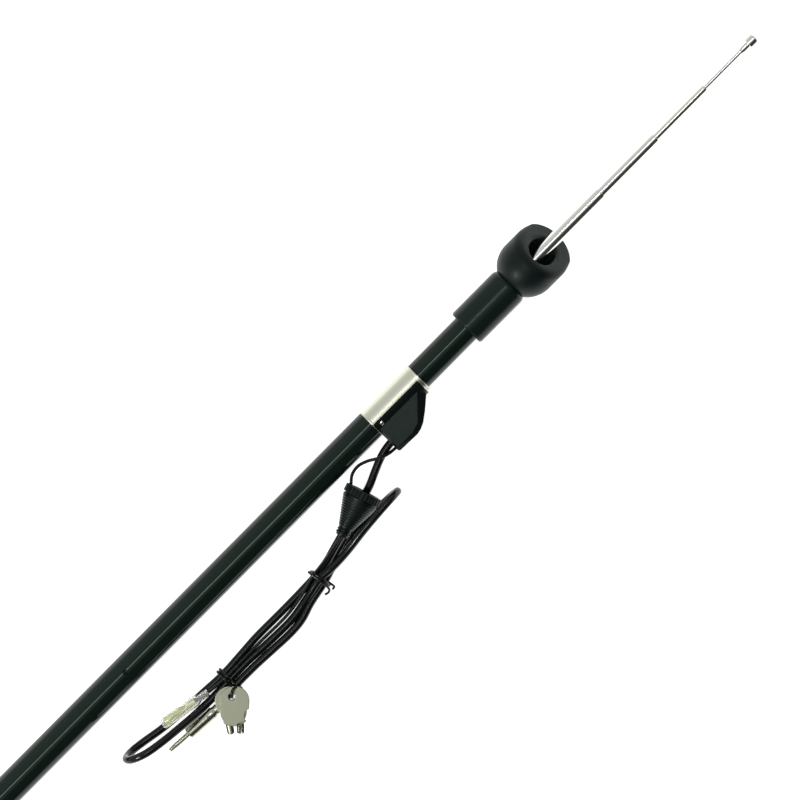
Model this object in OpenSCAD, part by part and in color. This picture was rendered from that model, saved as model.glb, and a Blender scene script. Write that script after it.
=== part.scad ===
// Telescopic wing aerial for a car, off the car: housing tube, four-stage mast, moulded lead exit,
// coaxial lead folded and tied, plug, earth lead with its terminal, and two keys.
// Millimetres. The aerial lies on a surface at Z = 0 with its mast towards +X. Distances along the mast
// are counted from the wing seat, where the collar meets the pad. Everything on the mast axis is drawn
// level and then laid down by lying(); what lies on the surface is drawn in place by from_seat().

/* [Housing] */
// Outside diameter of the housing tube
housing_od = 20.4; // [19:0.1:22]
// Wall of the housing tube
housing_wall = 1.0; // [0.8:0.1:1.4]
// How far the housing reaches below the wing seat
housing_depth = 495; // [480:1:560]
// Diameter of the drain hole in the housing wall
drain_d = 3.2; // [2:0.1:5]
// Distance of the drain hole below the wing seat
drain_depth = 356; // [250:1:420]
// Thickness of the bottom cap outside the tube
cap_plate = 3; // [2:0.5:5]
// Depth of the bottom cap inside the tube
cap_spigot = 12; // [8:1:20]

/* [Bright sleeve and neck] */
// Distance of the sleeve's lower end below the wing seat
sleeve_low = 129; // [120:1:140]
// Distance of the sleeve's upper end below the wing seat
sleeve_high = 85.5; // [80:0.5:90]
// Diameter of the sleeve
sleeve_od = 21; // [20.8:0.1:22]
// Diameter over the turned lips at its ends
lip_od = 21.9; // [21.6:0.1:23]
// Width of each lip
lip_w = 1.3; // [0.8:0.1:2]
// Outside diameter of the neck tube
neck_od = 19.3; // [18.4:0.1:20]
// Bore of the sleeve and the neck
neck_bore = 14; // [13.6:0.1:14.6]
// Length of the spigots that join sleeve, housing and neck
spigot_len = 12; // [8:1:14]

/* [Collar] */
// Length of the collar
collar_len = 41.6; // [36:0.1:46]
// Diameter of the collar
collar_od = 26.6; // [25:0.1:29]
// Length of the rounded shoulder at its upper end
shoulder_len = 5; // [3:0.5:8]
// Radius of the rounded shoulder at the upper face
shoulder_r = 9.4; // [8.6:0.1:10]

/* [Wing pad] */
// Diameter of the rubber wing pad
pad_od = 40; // [36:0.5:44]
// Height of the pad's flat face above the wing seat, on the mast axis
pad_height = 31.6; // [28:0.2:36]
// Angle of the pad's flat face, for a sloping wing
pad_slope = 34.5; // [20:0.5:40]
// Width of the mast slot in the pad
slot_w = 18; // [14:0.5:20]
// How far the slot reaches to its high side
slot_high = 14.6; // [12:0.2:16]
// How far the slot reaches to its low side
slot_low = 9; // [8:0.5:12]
// Depth of rubber left under the slot
pad_floor = 8; // [5:0.5:12]
// Radius of the pad's soft upper edge
pad_edge = 9; // [4:0.5:11]
// Depth of the dish round the slot
dish_depth = 2.4; // [1:0.2:4]

/* [Mast] */
// Outside diameters of the three mast tubes and the rod
mast_d = [8.8, 7.4, 5.3, 3.2];
// Where each stage's upper end stands above the wing seat, partly drawn out
mast_top = [82.7, 133.3, 178.8, 210.7];
// Length of each stage
mast_len = [450, 410, 375, 345];
// Wall of the mast tubes
mast_wall = 0.4; // [0.3:0.05:0.45]
// Length of the rolled-in lip at the top of each mast tube
roll_len = 3; // [2:0.5:5]
// Length of the spring bush on the foot of each stage
bush_len = [14, 12, 12, 10];
// Diameter of the tip cap
tip_d = 8.4; // [7.6:0.1:9]
// Length of the cone under the tip cap
tip_cone = 7.4; // [5:0.2:10]
// Length of the tip cap
tip_len = 7.4; // [5:0.2:9]

/* [Inner parts] */
// Outside diameter of the insulating liner and the mast guide
liner_od = 13.9; // [13.5:0.1:14.4]
// Bore of the insulating liner
liner_bore = 11; // [10.6:0.1:11.6]
// How far the mast guide stands above the wing seat
guide_top = 6; // [4:0.5:10]
// Length of the contact collar
contact_len = 10.5; // [8:0.5:12]

/* [Lead cover] */
// Distance of the cover's lower face below the wing seat
cover_low = 128.7; // [125:0.1:132]
// Distance of the cover's upper corner below the wing seat
cover_high = 89.6; // [89:0.1:95]
// How far the cover stands out from the mast axis
cover_out = 26; // [24:0.5:30]
// Thickness of the cover, across its flat sides
cover_t = 20.6; // [18:0.2:22]
// Bevel round the cover's flat sides
cover_bevel = 2.6; // [1:0.2:4]
// Wall of the cover
cover_wall = 2; // [1.4:0.1:3]
// Distance of the coaxial lead from the mast axis where it leaves
coax_out = 17.6; // [15:0.1:20]
// Distance of the earth lead from the mast axis where it leaves
earth_out = 22.2; // [21.8:0.1:23]
// Diameter of the cover's rivet head
rivet_d = 2.6; // [2.2:0.1:3.6]

/* [Leads] */
// Diameter of the coaxial lead
coax_d = 5.4; // [5:0.1:6]
// Diameter of the earth lead
earth_d = 2.2; // [2:0.1:2.6]
// Diameter of the upper wire tie
tie_upper_d = 1.6; // [1.2:0.1:1.8]
// Diameter of the lower wire tie, which also holds the keys
tie_lower_d = 2; // [1.4:0.1:2.2]

/* [Cone grommet] */
// Diameter of the knurled ring
ring_od = 26; // [24:0.5:27]
// Width of the knurled ring
ring_w = 5.2; // [3.6:0.2:6]
// Number of flutes round the ring
ring_flutes = 26; // [16:1:32]
// Length of the rubber cone under the ring
cone_len = 27.5; // [25:0.5:31]
// Diameter of the cone under the ring
cone_top_d = 24.8; // [22:0.2:25]
// Diameter of the cone at its small end
cone_end_d = 9.2; // [9:0.1:11]
// Number of ribs on the cone
cone_ribs = 12; // [8:1:14]

/* [Plug] */
// Diameter of the plug's shell
plug_d = 8.2; // [8:0.1:10]
// Length of the plug's shell
plug_len = 28; // [24:0.5:32]
// Length of the pin in front of the shell
pin_len = 17; // [15:0.5:18]
// Diameter of the pin
pin_d = 3.5; // [3:0.1:3.8]

/* [Earth terminal] */
// Diameter of the clear cover
boot_d = 7.5; // [7:0.1:8.4]
// Length of the clear cover's body
boot_len = 30; // [26:0.5:34]
// Length of the clear cover's neck
boot_neck = 6.8; // [5:0.2:9]
// Diameter of the clear cover's neck
boot_neck_d = 4.8; // [4.2:0.1:5.6]

/* [Keys] */
// Width of a key's head
key_head = 19.2; // [18:0.2:21]
// How much longer than wide the head is
key_stretch = 7.6; // [4:0.2:9]
// Thickness of the key sheet
key_t = 1.2; // [1:0.1:1.6]
// Length of the rolled shank beyond the head
shank_len = 6; // [5:0.2:8]
// Outside diameter of the rolled shank
shank_d = 4.8; // [4.4:0.1:5.4]
// Distance of the shank from the key's middle line
shank_side = 3.8; // [2:0.2:4.2]
// Diameter of the hole for the tie
key_hole = 4.8; // [4.4:0.1:5.2]

/* [Hidden] */
$fn = 64;
eps = 0.01;

fit = 0.05;
slip = 0.1;
housing_r = housing_od / 2;
housing_bore = housing_od - 2 * housing_wall;
pad_r = pad_od / 2;
ball_x = pad_r - 5;
neck_spigot_d = neck_od - 2.3;
neck_top = -8;
guide_low = -sleeve_low + contact_len + slip;

// The axis rises from the housing's lower edge to the pad's lowest point.
lie_angle = asin((pad_r - housing_r) / (ball_x + housing_depth));
axis_height = pad_r / cos(lie_angle) - ball_x * tan(lie_angle);

// The wing seat's place, with the middle of the rigid pieces over the origin.
mast_reach = mast_top[3] + tip_cone + tip_len;
seat = [(housing_depth - mast_reach) / 2, (cover_out - pad_r) / 2, 0];

// Places a piece that lies on the surface, drawn with its distances counted from the wing seat.
module from_seat() {
    translate(seat) children();
}

// Lays a piece drawn on a level mast axis down on the surface.
module lying() {
    from_seat() translate([0, 0, axis_height]) rotate([0, -lie_angle, 0]) children();
}

// Stands a profile of [radius, distance along the axis] round the mast axis.
module turned(profile) {
    rotate([0, 90, 0]) rotate_extrude() polygon(profile);
}

module rod_x(from, to, d) {
    translate([from, 0, 0]) rotate([0, 90, 0]) cylinder(h = to - from, d = d);
}

// Housing

module housing_tube() {
    color("#20292a") lying() difference() {
        rod_x(-housing_depth + cap_plate, -sleeve_low, housing_od);
        rod_x(-housing_depth, -sleeve_low + 1, housing_bore);
        translate([-drain_depth, 0, 0]) cylinder(h = housing_od, d = drain_d);
    }
}

module bottom_cap() {
    bevel = 1;
    inside = housing_bore / 2 - fit;
    pocket = liner_od / 2 + fit;
    color("#181b1b") lying() translate([-housing_depth, 0, 0]) turned([
        [0, 0], [housing_r - bevel, 0], [housing_r, bevel], [housing_r, cap_plate],
        [inside, cap_plate], [inside, cap_plate + cap_spigot], [pocket, cap_plate + cap_spigot],
        [pocket, 2 * cap_plate], [0, 2 * cap_plate]
    ]);
}

module insulating_liner() {
    color("#181b1b") lying() difference() {
        rod_x(-housing_depth + 2 * cap_plate + slip, -sleeve_low - slip, liner_od);
        rod_x(-housing_depth, -sleeve_low + 1, liner_bore);
    }
}

module bright_sleeve() {
    window_w = 5;
    color("#c9c7b8") lying() difference() {
        union() {
            rod_x(-sleeve_low, -sleeve_high, sleeve_od);
            for (x = [-sleeve_low, -sleeve_high - lip_w])
                rod_x(x, x + lip_w, lip_od);
            rod_x(-sleeve_low - spigot_len, -sleeve_low + eps, housing_bore - 2 * fit);
        }
        rod_x(-sleeve_low - spigot_len - 1, -sleeve_high + 1, neck_bore);
        rod_x(-sleeve_high - spigot_len, -sleeve_high + 1, neck_spigot_d + 2 * fit);
        translate([-sleeve_low + contact_len / 2, -sleeve_od / 2, 0])
            cube([window_w + 1, sleeve_od, window_w], center = true);
        rivet_hole();
    }
}

module neck_tube() {
    color("#1a1f1e") lying() difference() {
        union() {
            rod_x(-sleeve_high, neck_top, neck_od);
            rod_x(-sleeve_high - spigot_len + slip, -sleeve_high + eps, neck_spigot_d);
        }
        rod_x(-sleeve_high - spigot_len, neck_top + 1, neck_bore);
    }
}

module collar() {
    r = collar_od / 2;
    inside = neck_od / 2 + fit;
    hole = neck_bore / 2 + fit;
    rim = 1;
    arc = [
        for (a = [0:15:90]) [shoulder_r + (r - shoulder_r) * cos(a), -shoulder_len + shoulder_len * sin(a)]
    ];
    color("#1d2322") lying() difference() {
        turned(concat(
            [[inside, -collar_len], [r - rim / 2, -collar_len], [r - rim / 2, -collar_len + rim],
             [r, -collar_len + rim]],
            arc,
            [[hole, 0], [hole, neck_top + slip], [inside, neck_top + slip]]
        ));
        translate([ball_x, 0, 0]) sphere(r = pad_r + fit);
    }
}

// Side view of what is left of the pad under its sloping face, with the soft edge at the top.
module pad_side() {
    reach = 2 * pad_r;
    slope = tan(pad_slope);
    turn = 90 - pad_slope;
    arc_x = pad_height - pad_r * slope - pad_edge * tan(turn / 2);
    arc_y = pad_r - pad_edge;
    arc = [for (a = [0:turn / 8:turn + eps]) [arc_x + pad_edge * sin(a), arc_y + pad_edge * cos(a)]];
    polygon(concat(
        [[-pad_r, -reach], [pad_height + reach * slope, -reach]],
        [for (i = [len(arc) - 1:-1:0]) arc[i]],
        [[arc_x - 1, pad_r], [arc_x - 1, reach], [-pad_r, reach]]
    ));
}

// The pad is a ball-ended block: round where it seats in the collar, cut flat for the wing's slope.
module wing_pad() {
    high = pad_height + pad_r;
    slot_end = slot_w / 2;
    dish_r = 30;
    color("#232a2a") lying() difference() {
        intersection() {
            rotate([0, 90, 0]) union() {
                translate([0, 0, ball_x]) sphere(r = pad_r);
                translate([0, 0, ball_x]) cylinder(h = high - ball_x, r = pad_r);
            }
            rotate([90, 0, 0]) linear_extrude(3 * pad_r, center = true) pad_side();
        }
        translate([pad_height, 0, 0]) rotate([0, -pad_slope, 0])
            translate([dish_r - dish_depth, 0, (slot_high - slot_low) / 2]) sphere(r = dish_r, $fn = 128);
        translate([ball_x - pad_r + pad_floor, 0, 0]) rotate([0, 90, 0]) linear_extrude(2 * pad_od) {
            translate([-slot_high + slot_end, 0]) circle(r = slot_end);
            translate([-slot_high + slot_end, -slot_end]) square([slot_high + slot_low - slot_w, slot_w]);
            translate([slot_low - slot_end, 0]) circle(r = slot_end);
        }
        rod_x(ball_x - pad_r - 1, ball_x, liner_od + 2 * slip);
    }
}

// Mast guide and contact

module mast_guide() {
    color("#dcdad0") lying() difference() {
        rod_x(guide_low, guide_top, liner_od);
        rod_x(guide_low - 1, guide_top + 1, mast_d[0] + 2 * slip);
    }
}

module contact_collar() {
    fingers = 6;
    slit = 0.8;
    base = 3;
    color("#c0a868") lying() difference() {
        rod_x(-sleeve_low, -sleeve_low + contact_len, liner_od);
        rod_x(-sleeve_low - 1, 0, mast_d[0] + slip);
        for (i = [0:fingers - 1])
            rotate([i * 360 / fingers + 30, 0, 0])
                translate([-sleeve_low + base, -slit / 2, 0]) cube([contact_len, slit, liner_od]);
    }
}

module contact_tab() {
    strip_w = 4;
    strip_t = 0.8;
    color("#c0a868") lying()
        translate([-sleeve_low + contact_len / 2 - strip_w / 2, -coax_out + coax_d / 2 + slip, -strip_t / 2])
            cube([strip_w, coax_out - coax_d / 2 - slip - liner_od / 2 - fit, strip_t]);
}

// Moulded cover over the leads' way out

module cover_outline() {
    polygon([
        [-cover_low, 0], [-cover_low, -cover_out + 1.3], [-cover_low + 1.3, -cover_out + 0.5],
        [-cover_high - 23, -cover_out], [-cover_high - 19, -cover_out + 0.8],
        [-cover_high - 15, -cover_out + 2.6], [-cover_high - 8.6, -cover_out + 7.3],
        [-cover_high, -cover_out + 14.6], [-cover_high - 2, -6.8], [-cover_high - 2, 0]
    ]);
}

// The flat sides stop short of the outline, most of all along its slanting edge.
module cover_flat() {
    polygon([
        [-cover_low + 1.5, 0], [-cover_low + 1.5, -cover_out + 3.2], [-cover_high - 24, -cover_out + 3.2],
        [-cover_high - 17.6, -cover_out + 5], [-cover_high - 3.4, -6.4], [-cover_high - 3.4, 0]
    ]);
}

module cover_body() {
    hull() {
        translate([0, 0, -cover_t / 2 + cover_bevel])
            linear_extrude(cover_t - 2 * cover_bevel) cover_outline();
        translate([0, 0, -cover_t / 2]) linear_extrude(cover_t) cover_flat();
    }
}

module lead_cover() {
    saddle_r = sleeve_od / 2 + 1.6;
    saddle_edge = 1.3;
    color("#1a2020") lying() difference() {
        union() {
            intersection() {
                cover_body();
                translate([-200, -100, -50]) cube([200, 100 - 4, 100]);
            }
            intersection() {
                rod_x(-cover_low, -cover_high + 1.5, 2 * saddle_r);
                translate([-200, -100, -50]) cube([200, 100 - saddle_edge, 100]);
            }
        }
        rod_x(-cover_low - 1, -cover_high + 2, sleeve_od + 2 * fit);
        rod_x(-cover_low - 1, -sleeve_low + lip_w + slip, lip_od + 2 * fit);
        translate([-cover_low + cover_wall, -cover_out + cover_wall + 1.4, -cover_t / 2 + 3])
            cube([19, cover_out - 8, cover_t - 6]);
        for (way = [[coax_out, coax_d], [earth_out, earth_d]])
            translate([-cover_low - 1, -way[0], 0]) rotate([0, 90, 0])
                cylinder(h = cover_wall + 2, d = way[1] + 2 * slip);
        rivet_hole();
    }
}

rivet_x = -123.5;
rivet_angle = 68.5;
rivet_shank = 1.8;

module at_rivet() {
    translate([rivet_x, 0, 0]) rotate([90 - rivet_angle, 0, 0]) children();
}

module rivet_hole() {
    at_rivet() translate([0, 0, neck_bore / 2 + 0.4]) cylinder(h = 12, d = rivet_shank + 2 * fit);
}

module cover_rivet() {
    root = neck_bore / 2 + 0.5;
    face = sleeve_od / 2 + 1.6;
    head_h = 0.9;
    color("#e6e6e0") lying() at_rivet() {
        translate([0, 0, root]) cylinder(h = face - root + eps, d = rivet_shank);
        translate([0, 0, face]) rotate_extrude() intersection() {
            translate([0, head_h - rivet_d]) circle(r = rivet_d);
            square([rivet_d / 2, head_h]);
        }
    }
}

// Mast

// A mast tube, with its upper end rolled in to guide the next stage.
module mast_tube(i) {
    r = mast_d[i] / 2;
    bore = r - mast_wall;
    guide = mast_d[i + 1] / 2 + fit;
    edge = guide + mast_wall;
    roll = r - edge;
    low = mast_top[i] - mast_len[i];
    high = mast_top[i];
    round_top = [for (a = [0:30:90]) [edge + roll * cos(a), high - roll_len / 2 + roll_len / 2 * sin(a)]];
    color("#d4d4d0") lying() turned(concat(
        [[bore, low], [r, low]], round_top,
        [[guide, high], [guide, high - roll_len], [bore, high - roll_len - (bore - guide)]]
    ));
}

// A split spring bush on the foot of a stage, running in the bore of the stage outside it.
module foot_bush(i, running_bore) {
    low = mast_top[i] - mast_len[i];
    slit = 0.8;
    color("#c8b070") lying() difference() {
        rod_x(low, low + bush_len[i], running_bore - 2 * fit);
        rod_x(low - 1, low + bush_len[i] + 1, mast_d[i]);
        translate([low - 1, -slit / 2, 0]) cube([bush_len[i] + 2, slit, running_bore]);
    }
}

module mast_rod() {
    point = 0.4;
    r = mast_d[3] / 2;
    low = mast_top[3] - mast_len[3];
    high = mast_top[3] + tip_cone;
    color("#d4d4d0") lying() turned([[0, low], [r - point, low], [r, low + point], [r, high], [0, high]]);
}

module tip_cap() {
    r = tip_d / 2;
    neck_r = 1.9;
    flare_r = 2.5;
    base = mast_top[3] + tip_cone;
    dome = 2.6;
    rod_r = mast_d[3] / 2;
    crown = [for (a = [0:15:90]) [r * cos(a), base + tip_len - dome + dome * sin(a)]];
    color("#d4d4d0") lying() turned(concat(
        [[rod_r, mast_top[3]], [neck_r, mast_top[3]], [flare_r, mast_top[3] + 3], [flare_r, base],
         [r - 0.3, base], [r, base + 0.3]],
        crown,
        [[0, base + eps], [rod_r, base + eps]]
    ));
}

// Leads

// Hand-picked way of the coaxial lead, from inside the cover to the back of the plug.
coax_way = [
    [-120, -17.6, 17.4], [-129, -17.6, 17.3], [-136, -18.6, 17.1], [-143, -20.8, 16.5], [-151, -24.2, 15.4],
    [-158, -27.3, 14.2], [-165, -29.4, 13], [-180, -33.2, 12.1], [-194, -37.2, 11.4], [-205, -40.2, 9.8],
    [-214, -42.6, 7.6], [-225, -44, 5], [-240, -44.6, 3.9], [-257, -44.8, 3.3], [-280, -44.7, 3.4],
    [-296, -45.6, 4], [-313, -46.5, 5], [-330, -45.7, 3.8], [-350, -44.6, 2.9], [-366, -43.2, 2.8],
    [-381, -40.7, 3.4], [-391, -39.4, 7.6], [-396, -40.2, 16], [-392.5, -43.4, 24.4], [-383, -46.8, 28.4],
    [-371, -49, 24.8], [-358, -50.6, 17.4], [-345, -51.9, 9.8], [-330, -52.4, 5.4], [-313, -51.9, 5],
    [-296, -51.8, 3.9], [-280, -52.7, 3.3], [-257, -53.1, 3.2], [-240, -50.4, 5], [-225, -47.4, 9.6],
    [-214, -47.8, 11.2], [-200, -47.3, 14.6], [-182, -45.2, 21.6], [-166, -43.8, 27], [-155, -43.2, 25.6],
    [-148.2, -42.9, 16.4], [-152.5, -42.5, 7], [-161, -42.1, 2.9], [-173, -41, 2.8], [-186, -41, 2.8],
    [-200, -43.9, 2.9], [-213, -47.6, 3.5], [-225, -51.1, 4.4], [-240, -54.2, 3.9], [-252, -57.8, 3.3],
    [-264, -58.8, 3.2], [-280, -58.1, 3.3], [-296, -57.3, 4], [-313, -57.3, 5], [-321, -58.4, 4.3],
    [-329, -59.6, 4.1]
];

// Hand-picked way of the earth lead, from inside the cover to its terminal.
earth_way = [
    [-120, -22.2, 17.4], [-129, -22.2, 17.4], [-135.5, -21.4, 19.4], [-141.5, -19, 21.2],
    [-148, -15.2, 20.4], [-154.7, -13.2, 18.6], [-161.2, -14.4, 17], [-166.6, -18.6, 15.6],
    [-172, -23.2, 15], [-181, -30, 15.1], [-189, -34.9, 15.2], [-194.6, -37.2, 15.2], [-203, -39.4, 14.1],
    [-214, -41.4, 11.9], [-225, -42.8, 9.6], [-240, -46.4, 7.2], [-257, -48.9, 5.6], [-280, -48.7, 5.5],
    [-296, -48.8, 6.7], [-313, -49.1, 8.7], [-321, -48.5, 9.2], [-328, -47.7, 9.4], [-338, -45.9, 9.4]
];

// Hand-picked ways of the two wire ties, wound round the leads.
tie_upper_way = [
    [-229.6, -57, 5.2], [-227.2, -57.6, 5.4], [-225.2, -56.8, 7.2], [-224.6, -53.4, 10.4],
    [-225, -49.6, 13], [-225.6, -45.6, 13.4], [-226.2, -41, 12.6], [-226.4, -38.9, 10.2],
    [-226.2, -39.6, 6.4], [-225.8, -41, 2.4], [-225.2, -44.6, 0.9], [-224.4, -51, 0.9], [-223.8, -54.6, 3],
    [-223.2, -54.4, 7.6], [-223.4, -50.6, 12], [-224, -46, 13.2], [-224.6, -41.6, 12], [-224.9, -39.7, 7],
    [-224.3, -41.2, 2.6], [-223.6, -45, 0.9], [-222.8, -51, 0.9], [-221.8, -55.6, 2.4],
    [-221.6, -57.6, 5.2], [-223.4, -58, 6.8]
];
tie_lower_way = [
    [-320.3, -61.6, 7.2], [-318.8, -60.4, 7.6], [-316.4, -58.4, 8.4], [-315.2, -56, 8.9],
    [-314.8, -53, 9.2], [-314.6, -49.4, 11], [-314.6, -45.6, 9.4], [-314.7, -42.8, 6.4], [-314.7, -43.3, 3],
    [-314.5, -46.4, 1.2], [-314.2, -52, 1.1], [-313.9, -58, 1.2], [-313.6, -61, 3.6], [-313.2, -60.6, 7],
    [-312.7, -57, 8.9], [-312.4, -52.6, 9.2], [-312.3, -49, 11], [-312.4, -45.4, 9.4], [-312.5, -42.7, 6.4],
    [-312.5, -43.2, 3], [-312.2, -46.4, 1.2], [-312, -52, 1.1], [-311.8, -58, 1.2], [-311.4, -61.2, 4],
    [-311.4, -60.8, 8], [-312.4, -58.6, 11.4], [-314.8, -57.8, 13.2], [-317.4, -58.8, 13.4],
    [-319, -60.2, 12.2], [-319.4, -60.8, 10]
];

function unit(v) = v / norm(v);

// One point of a smooth curve through four neighbours of a way.
function smooth(a, b, c, d, t) =
    ((2 * b) + (c - a) * t + (2 * a - 5 * b + 4 * c - d) * t * t + (3 * b - a - 3 * c + d) * t * t * t) / 2;

function curve(way, steps) = [
    for (i = [0:len(way) - 2], k = [0:steps - 1])
        let (a = way[max(i - 1, 0)], b = way[i], c = way[i + 1], d = way[min(i + 2, len(way) - 1)])
            smooth(a, b, c, d, k / steps),
    way[len(way) - 1]
];

// Directions square to a way at each point, carried along so that the tube doesn't twist.
function across(line, i = 0, side = [0, 1, 0]) =
    i >= len(line) ? [] :
    let (
        ahead = unit(line[min(i + 1, len(line) - 1)] - line[max(i - 1, 0)]),
        square_to = unit(side - (side * ahead) * ahead)
    )
    concat([[square_to, cross(ahead, square_to)]], across(line, i + 1, square_to));

// A round tube along a way, with flat ends.
module tube_along(way, d, steps = 1, sides = 8) {
    line = curve(way, steps);
    frames = across(line);
    r = d / 2;
    rings = len(line);
    points = [
        for (i = [0:rings - 1], k = [0:sides - 1])
            line[i] + r * (cos(k * 360 / sides) * frames[i][0] + sin(k * 360 / sides) * frames[i][1])
    ];
    faces = concat(
        [[for (k = [0:sides - 1]) k]],
        [for (i = [0:rings - 2], k = [0:sides - 1])
            let (n = (k + 1) % sides, low = i * sides, high = low + sides)
                [low + k, high + k, high + n, low + n]],
        [[for (k = [sides - 1:-1:0]) (rings - 1) * sides + k]]
    );
    from_seat() polyhedron(points, faces, convexity = 10);
}

module coaxial_lead() {
    color("#101312") tube_along(coax_way, coax_d);
}

module earth_lead() {
    color("#101312") tube_along(earth_way, earth_d);
}

module wire_tie_upper() {
    color("#0e1110") tube_along(tie_upper_way, tie_upper_d);
}

module wire_tie_lower() {
    color("#0e1110") tube_along(tie_lower_way, tie_lower_d);
}

// Cone grommet

// Puts a piece drawn along Z, from the ring's open face to the small end, on its side on the surface.
cone_azimuth = 196.8;
cone_dip = 1;
ring_face = [-163.3, -28, ring_od / 2 * cos(cone_dip) + ring_w * sin(cone_dip) + fit];

module at_grommet() {
    from_seat() translate(ring_face) rotate([0, 0, cone_azimuth]) rotate([0, 90 + cone_dip, 0]) children();
}

// A rubber cone with rings of ribs, and two beads round its small end.
module cone_grommet() {
    wall = 1.2;
    end_wall = 0.8;
    top_r = cone_top_d / 2;
    end_r = cone_end_d / 2;
    groove = 0.9;
    bead_r = 0.8;
    end_len = 5;
    flank = cone_len - end_len;
    taper = (top_r - end_r) / (flank - groove);
    first_rib = 3;
    pitch = (flank - 2 * first_rib + 1) / (cone_ribs - 1);
    color("#151817") at_grommet() difference() {
        union() {
            translate([0, 0, ring_w]) cylinder(h = groove + eps, r = top_r - groove);
            translate([0, 0, ring_w + groove]) cylinder(h = flank - groove, r1 = top_r, r2 = end_r);
            for (i = [0:cone_ribs - 1])
                let (along = first_rib + i * pitch)
                    translate([0, 0, ring_w + along]) rotate_extrude()
                        translate([top_r - taper * (along - groove) - 0.1, 0]) circle(r = 0.45, $fn = 16);
            translate([0, 0, ring_w + flank - eps]) cylinder(h = end_len, r = end_r - 0.4);
            for (z = [1, 3])
                translate([0, 0, ring_w + flank + z]) rotate_extrude()
                    translate([end_r - 0.5, 0]) circle(r = bead_r, $fn = 16);
        }
        translate([0, 0, ring_w - 1])
            cylinder(h = flank + 1.1, r1 = top_r - wall - groove, r2 = end_r - end_wall);
        translate([0, 0, ring_w + flank]) cylinder(h = cone_len, r = end_r - end_wall);
    }
}

module grommet_ring() {
    flute = 0.7;
    color("#1b1f1e") at_grommet() difference() {
        cylinder(h = ring_w, d = ring_od);
        translate([0, 0, -1]) cylinder(h = ring_w + 2, d = cone_top_d - 4);
        for (i = [0:ring_flutes - 1])
            rotate([0, 0, i * 360 / ring_flutes]) translate([ring_od / 2 + 0.2, 0, -1])
                cylinder(h = ring_w + 2, r = flute, $fn = 16);
    }
}

// Plug

plug_back = [-329, -59.6, plug_d / 2];
plug_azimuth = 176.4;

module at_plug() {
    from_seat() translate(plug_back) rotate([0, 0, plug_azimuth]) children();
}

module plug_shell() {
    r = plug_d / 2;
    wall = 0.6;
    bore_r = coax_d / 2 + fit;
    crimp_r = coax_d / 2 + wall;
    crimp_len = 5;
    slit = 0.7;
    color("#b9b8aa") at_plug() difference() {
        turned([
            [bore_r, 0], [crimp_r, 0], [crimp_r, crimp_len], [r, crimp_len + 2], [r, plug_len - 0.5],
            [r - 0.3, plug_len], [r - wall, plug_len], [r - wall, crimp_len + 2.6], [bore_r, crimp_len + 1]
        ]);
        translate([crimp_len + 5, -slit / 2, 0]) cube([plug_len, slit, plug_d]);
    }
}

module plug_insulator() {
    r = plug_d / 2 - 0.6 - fit;
    color("#ddd8c8") at_plug() difference() {
        rod_x(plug_len - 16, plug_len - 1, 2 * r);
        rod_x(plug_len - 17, plug_len, 2.6 + 2 * fit);
    }
}

module plug_pin() {
    r = pin_d / 2;
    root_r = 1.3;
    root = plug_len + 0.2;
    straight = 11;
    tip_r = 1.4;
    tip = [for (a = [0:15:90]) [tip_r * cos(a), plug_len + pin_len - tip_r + tip_r * sin(a)]];
    color("#d2d2cc") at_plug() turned(concat(
        [[0, plug_len - 18], [root_r, plug_len - 18], [root_r, root], [r, root], [r, root + straight]], tip
    ));
}

// Earth terminal in its clear cover

terminal_back = [-328.2, -47.5, 9.4];
terminal_azimuth = 170;

module at_terminal() {
    from_seat() translate(terminal_back) rotate([0, 0, terminal_azimuth]) children();
}

module terminal_cover() {
    wall = 0.7;
    r = boot_d / 2;
    neck_r = boot_neck_d / 2;
    total = boot_neck + boot_len;
    color([0.9, 0.92, 0.9, 0.5]) at_terminal() turned([
        [earth_d / 2 + 0.3, 0], [neck_r, 0], [neck_r, boot_neck], [r, boot_neck + 3], [r, total - 1.4],
        [r - 1.2, total], [r - wall - 1.2, total], [r - wall, total - 1.6], [r - wall, boot_neck + 3.4],
        [earth_d / 2 + 0.3, boot_neck + 1]
    ]);
}

module brass_terminal() {
    sheet = 0.5;
    barrel_r = boot_d / 2 - 0.9;
    crimp_r = earth_d / 2 + sheet + 0.1;
    start = boot_neck + 4;
    crimp_end = start + 6;
    barrel = boot_neck + 15;
    end = boot_neck + boot_len - 2.4;
    color("#c9c46a") at_terminal() difference() {
        turned([
            [crimp_r - sheet, start], [crimp_r, start], [crimp_r, crimp_end],
            [barrel_r, barrel], [barrel_r, end], [barrel_r - sheet, end],
            [barrel_r - sheet, barrel], [crimp_r - sheet, crimp_end]
        ]);
        translate([crimp_end, -boot_d / 2, 0]) cube([barrel - crimp_end, boot_d, boot_d]);
        translate([barrel - 1, -0.4, 0]) cube([end, 0.8, boot_d]);
    }
}

// Keys

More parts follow.
